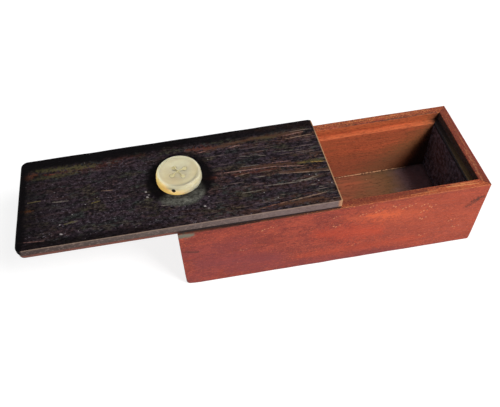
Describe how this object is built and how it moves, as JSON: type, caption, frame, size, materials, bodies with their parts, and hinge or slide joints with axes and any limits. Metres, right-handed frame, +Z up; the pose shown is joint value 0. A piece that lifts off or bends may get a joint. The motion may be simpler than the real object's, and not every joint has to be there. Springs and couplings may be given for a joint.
{
  "type": "stud box",
  "caption": "Small oblong wooden box with mitred walls, a rebated rim, a dark sliding lid that draws out over one end, and a round four-hole button as its pull.",
  "frame": {"origin": "centre of the box's underside, in the plane that it rests on", "axes": "+X along the box towards its closed end, +Y towards its back wall, +Z up. The lid draws out towards -X."},
  "size_m": [0.123, 0.032, 0.0295],
  "materials": {
    "mahogany": "satin",
    "mahogany_end": "satin",
    "mahogany_floor": "matt",
    "mahogany_lining": "satin",
    "dark_wood": "satin",
    "pearl": "polished",
    "thread": "matt"
  },
  "bodies": {
    "box": {"front_board": "mahogany", "back_board": "mahogany", "right_end_board": "mahogany_end", "left_end_board": "mahogany_end", "bottom_board": "mahogany_floor"},
    "lid": {"lid_plate": "dark_wood", "lid_lining": "mahogany_lining", "pearl_button": "pearl", "under_stitch": "thread", "over_stitch": "thread"}
  },
  "joints": [
    {"name": "lid_slide", "type": "slide", "parent": "box", "child": "lid", "axis": [1, 0, 0], "range_m": [-0.039, 0.0405]}
  ]
}
